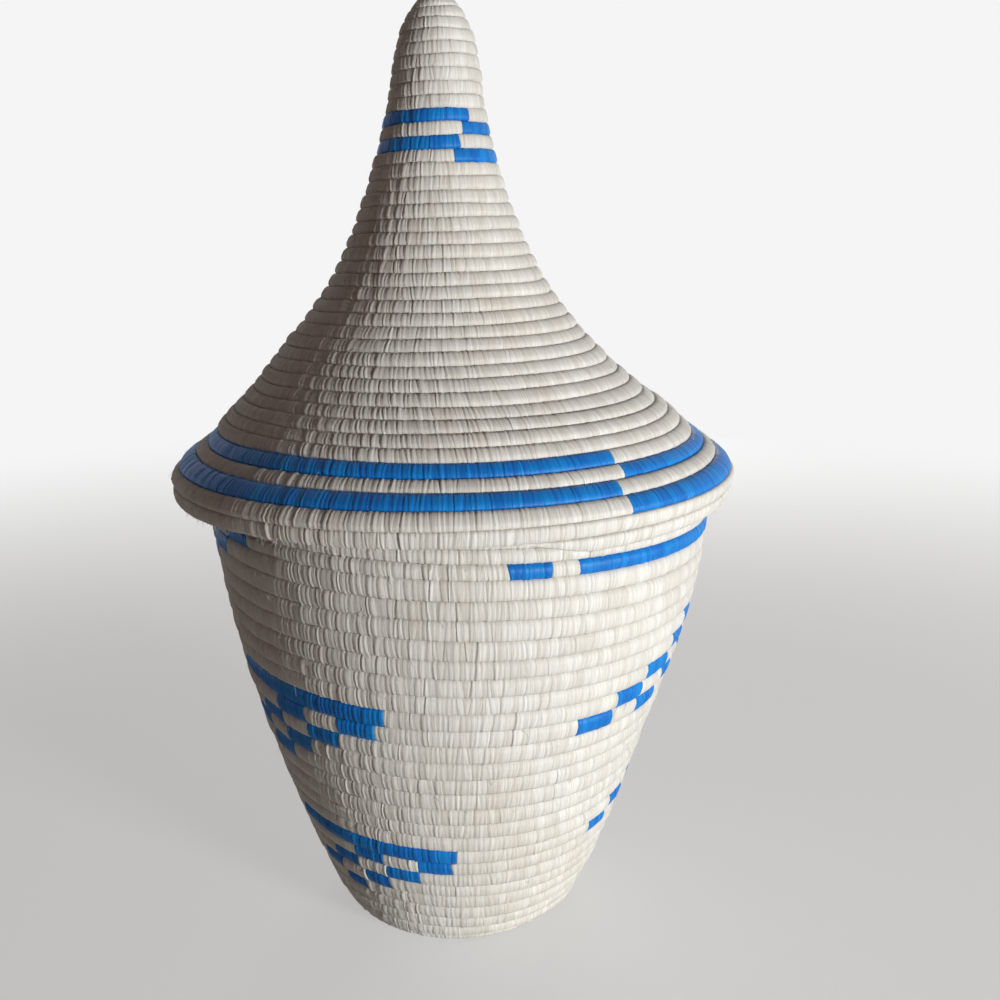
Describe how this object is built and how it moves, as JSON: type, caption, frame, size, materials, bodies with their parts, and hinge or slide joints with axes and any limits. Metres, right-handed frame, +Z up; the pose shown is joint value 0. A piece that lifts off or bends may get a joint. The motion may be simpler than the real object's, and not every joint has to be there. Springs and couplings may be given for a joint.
{
  "type": "lidded coiled basket",
  "caption": "Tall coiled sisal basket with a tapering round body, stepped blue motifs and a lift-off lid that rises from a wide brim to a slim rounded spire.",
  "frame": {"origin": "on the surface that the basket stands on, under the middle of its flat base", "axes": "+Z up along the basket's own axis, through the tip of the lid; -Y towards the side that the picture shows"},
  "size_m": [0.279, 0.279, 0.4602],
  "materials": {
    "natural_sisal_wrap": "undyed sisal fibre stitched tightly round a grass coil, matt with a faint silky sheen",
    "blue_sisal_wrap": "cobalt blue dyed sisal fibre stitched tightly round a grass coil, matt"
  },
  "bodies": {
    "basket": {"base_start_button": "natural_sisal_wrap", "base_coil": "natural_sisal_wrap", "heel_courses": "natural_sisal_wrap", "wall_courses": "natural_sisal_wrap", "neck_courses": "natural_sisal_wrap", "rim_course": "natural_sisal_wrap", "motif_low_front_blue": "blue_sisal_wrap", "motif_low_right_blue": "blue_sisal_wrap", "motif_low_back_blue": "blue_sisal_wrap", "motif_middle_left_blue": "blue_sisal_wrap", "motif_middle_right_blue": "blue_sisal_wrap", "motif_middle_back_blue": "blue_sisal_wrap", "motif_rim_left_blue": "blue_sisal_wrap", "rim_band_blue": "blue_sisal_wrap", "rim_dash_blue": "blue_sisal_wrap"},
    "lid": {"lid_start_knot": "natural_sisal_wrap", "lid_spire_courses": "natural_sisal_wrap", "lid_cone_courses": "natural_sisal_wrap", "lid_shoulder_courses": "natural_sisal_wrap", "lid_brim_course": "natural_sisal_wrap", "lid_turned_under_course": "natural_sisal_wrap", "lid_collar": "natural_sisal_wrap", "spire_upper_ring_blue": "blue_sisal_wrap", "spire_lower_ring_blue": "blue_sisal_wrap", "shoulder_upper_ring_blue": "blue_sisal_wrap", "shoulder_lower_ring_blue": "blue_sisal_wrap"}
  },
  "joints": [
    {"name": "lid_lift", "type": "slide", "parent": "basket", "child": "lid", "axis": [0, 0, 1], "range_m": [0, 0.15]}
  ]
}
